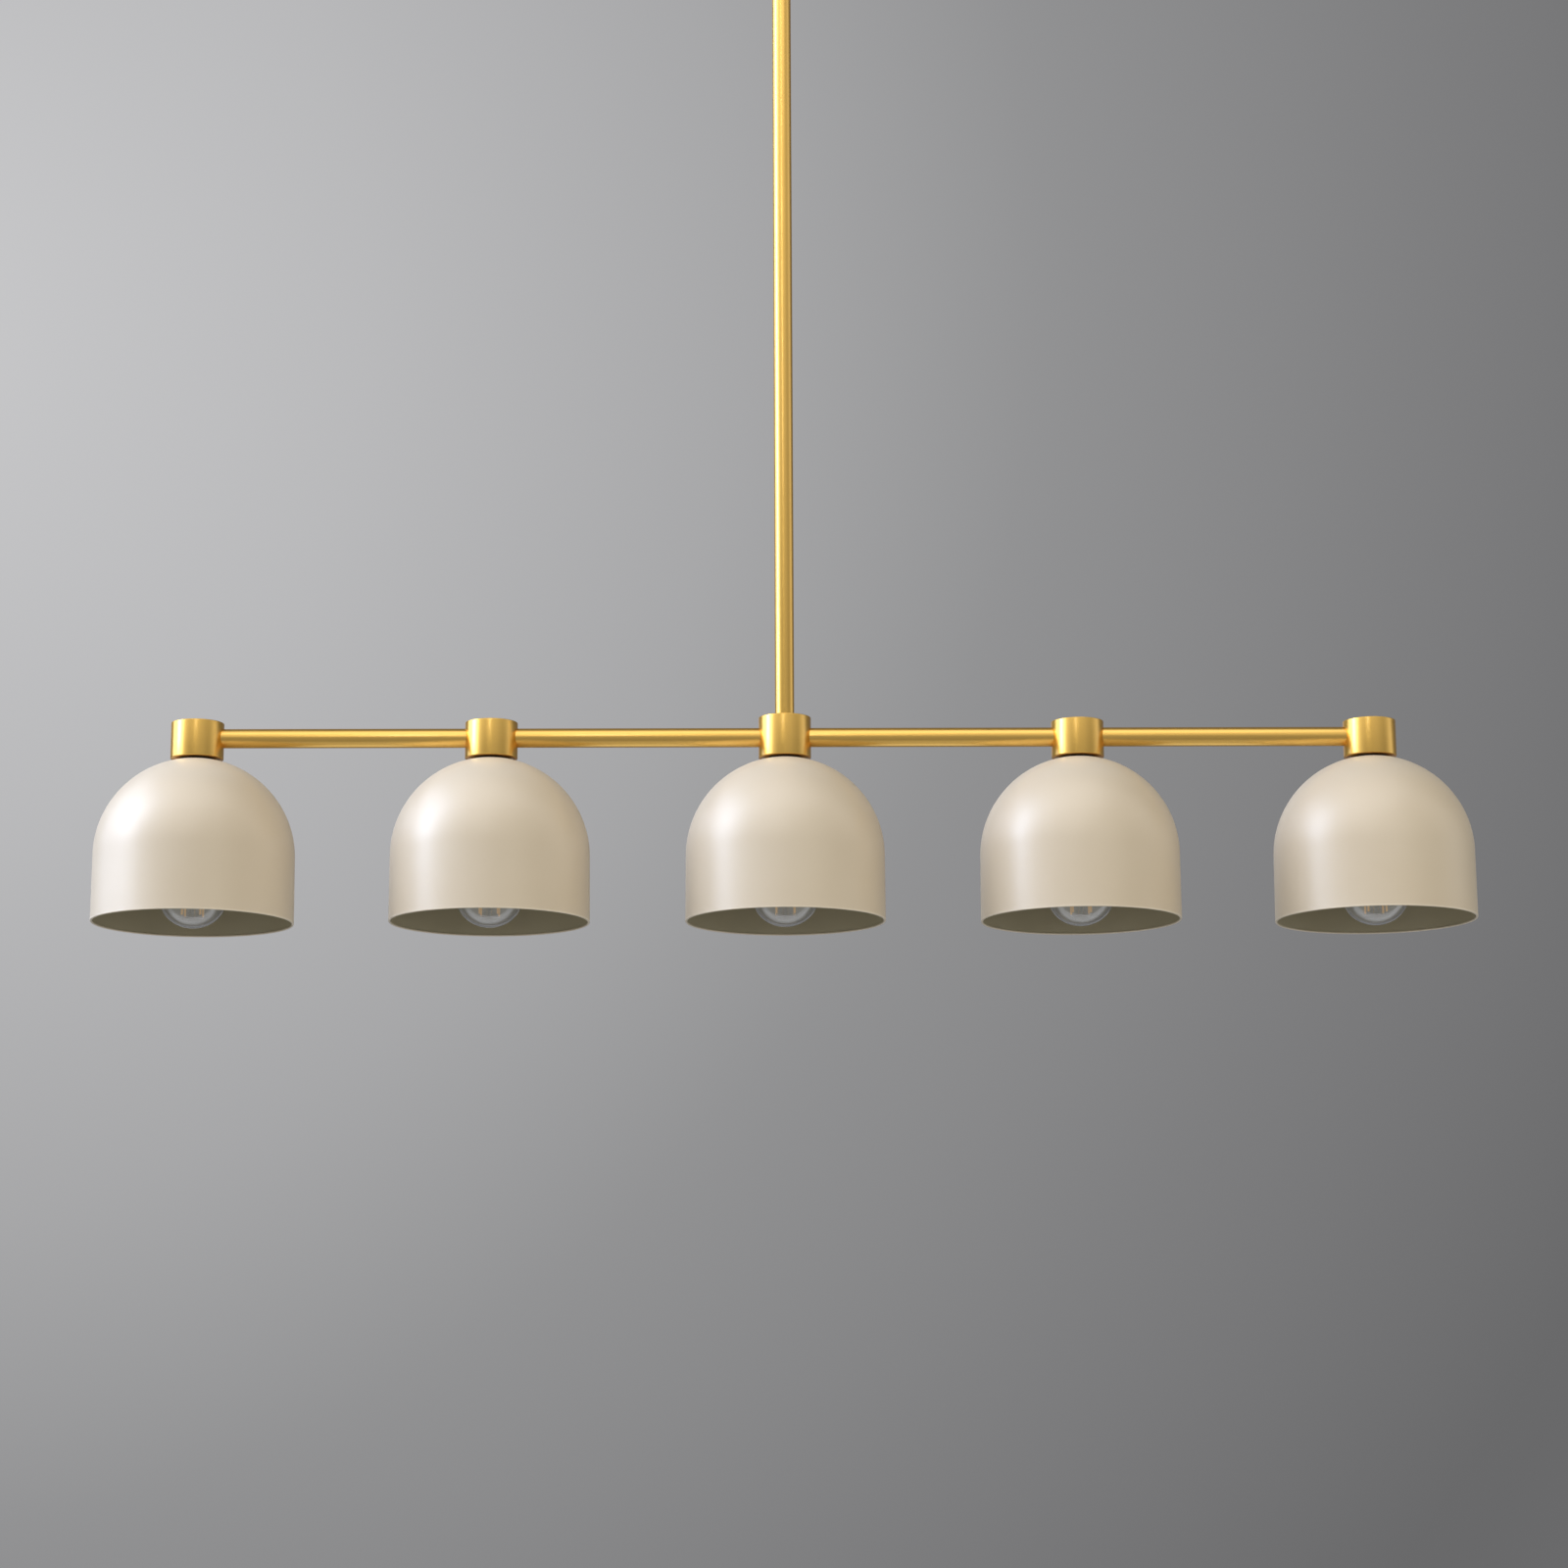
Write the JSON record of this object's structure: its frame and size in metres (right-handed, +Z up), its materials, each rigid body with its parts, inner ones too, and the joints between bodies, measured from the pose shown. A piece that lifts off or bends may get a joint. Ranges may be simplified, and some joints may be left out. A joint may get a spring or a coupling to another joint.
{
  "type": "linear island pendant",
  "caption": "Linear island pendant: domed metal shades with clear filament bulbs under turned hubs on a straight tube bar, hung by one stem from a round canopy with a ball swivel.",
  "frame": {"origin": "centre of the ceiling plane, on the crossbar's upper face, where the mounting slots' pattern is centred", "axes": "+Z up towards the ceiling, +X along the bar, +Y away from the viewer; the lamp hangs at negative Z"},
  "size_m": [1.139, 0.165, 0.9695],
  "materials": {
    "satin_brass": "brushed satin, lacquered",
    "cream_paint": "satin powder coat, inside and out",
    "zinc_steel": "zinc plated",
    "dark_steel": "blackened",
    "green_steel": "green dyed screw",
    "black_fibre": "pressed fibre",
    "nylon": "moulded",
    "plated_brass": "plain drawn",
    "porcelain": "glazed",
    "contact_brass": "bright",
    "clear_glass": "clear",
    "nickel_cap": "nickel plated",
    "filament": "phosphor coated",
    "lead_black": "insulation",
    "lead_white": "insulation",
    "lead_green": "insulation",
    "connector_plastic": "moulded"
  },
  "bodies": {
    "root": {"crossbar": "zinc_steel", "canopy": "satin_brass", "canopy_studs": "zinc_steel", "canopy_cap_nuts": "satin_brass", "earth_screw": "green_steel", "hanger_nipple": "zinc_steel", "hanger_nut": "zinc_steel"},
    "swivel": {"swivel_cap": "satin_brass", "swivel_body": "satin_brass"},
    "liner": {"swivel_liner": "nylon"},
    "fixture": {"swivel_ball": "satin_brass", "stem_tube": "satin_brass", "stem_bush": "satin_brass", "hub_1": "satin_brass", "hub_2": "satin_brass", "hub_3": "satin_brass", "hub_4": "satin_brass", "hub_5": "satin_brass", "bar_tube_1": "satin_brass", "bar_tube_2": "satin_brass", "bar_tube_3": "satin_brass", "bar_tube_4": "satin_brass", "hub_plates": "satin_brass", "shade_1": "cream_paint", "shade_2": "cream_paint", "shade_3": "cream_paint", "shade_4": "cream_paint", "shade_5": "cream_paint", "lamp_nipples": "zinc_steel", "lamp_locknuts": "zinc_steel", "tube_grub_screws": "dark_steel", "shade_washers": "black_fibre", "socket_caps": "plated_brass", "socket_bodies": "porcelain", "socket_shells": "contact_brass", "socket_contacts": "contact_brass", "terminal_screws": "contact_brass", "earth_post": "contact_brass", "lead_live": "lead_black", "lead_neutral": "lead_white", "lead_earth": "lead_green", "lead_connectors": "connector_plastic"},
    "bulb_1": {"bulb_glass_1": "clear_glass", "bulb_cap_1": "nickel_cap", "bulb_filaments_1": "filament"},
    "bulb_2": {"bulb_glass_2": "clear_glass", "bulb_cap_2": "nickel_cap", "bulb_filaments_2": "filament"},
    "bulb_3": {"bulb_glass_3": "clear_glass", "bulb_cap_3": "nickel_cap", "bulb_filaments_3": "filament"},
    "bulb_4": {"bulb_glass_4": "clear_glass", "bulb_cap_4": "nickel_cap", "bulb_filaments_4": "filament"},
    "bulb_5": {"bulb_glass_5": "clear_glass", "bulb_cap_5": "nickel_cap", "bulb_filaments_5": "filament"}
  },
  "joints": [
    {"name": "swivel_turn", "type": "hinge", "parent": "root", "child": "swivel", "pos_m": [0, 0, -0.027], "axis": [0, 0, 1], "range_deg": [-170, 170]},
    {"name": "tilt_fore_aft", "type": "hinge", "parent": "swivel", "child": "liner", "pos_m": [0, 0, -0.027], "axis": [1, 0, 0], "range_deg": [-15, 15]},
    {"name": "tilt_sideways", "type": "hinge", "parent": "liner", "child": "fixture", "pos_m": [0, 0, -0.027], "axis": [0, 1, 0], "range_deg": [-15, 15]},
    {"name": "bulb_1_out", "type": "slide", "parent": "fixture", "child": "bulb_1", "axis": [0, 0, -1], "range_m": [0, 0.12]},
    {"name": "bulb_2_out", "type": "slide", "parent": "fixture", "child": "bulb_2", "axis": [0, 0, -1], "range_m": [0, 0.12]},
    {"name": "bulb_3_out", "type": "slide", "parent": "fixture", "child": "bulb_3", "axis": [0, 0, -1], "range_m": [0, 0.12]},
    {"name": "bulb_4_out", "type": "slide", "parent": "fixture", "child": "bulb_4", "axis": [0, 0, -1], "range_m": [0, 0.12]},
    {"name": "bulb_5_out", "type": "slide", "parent": "fixture", "child": "bulb_5", "axis": [0, 0, -1], "range_m": [0, 0.12]}
  ]
}
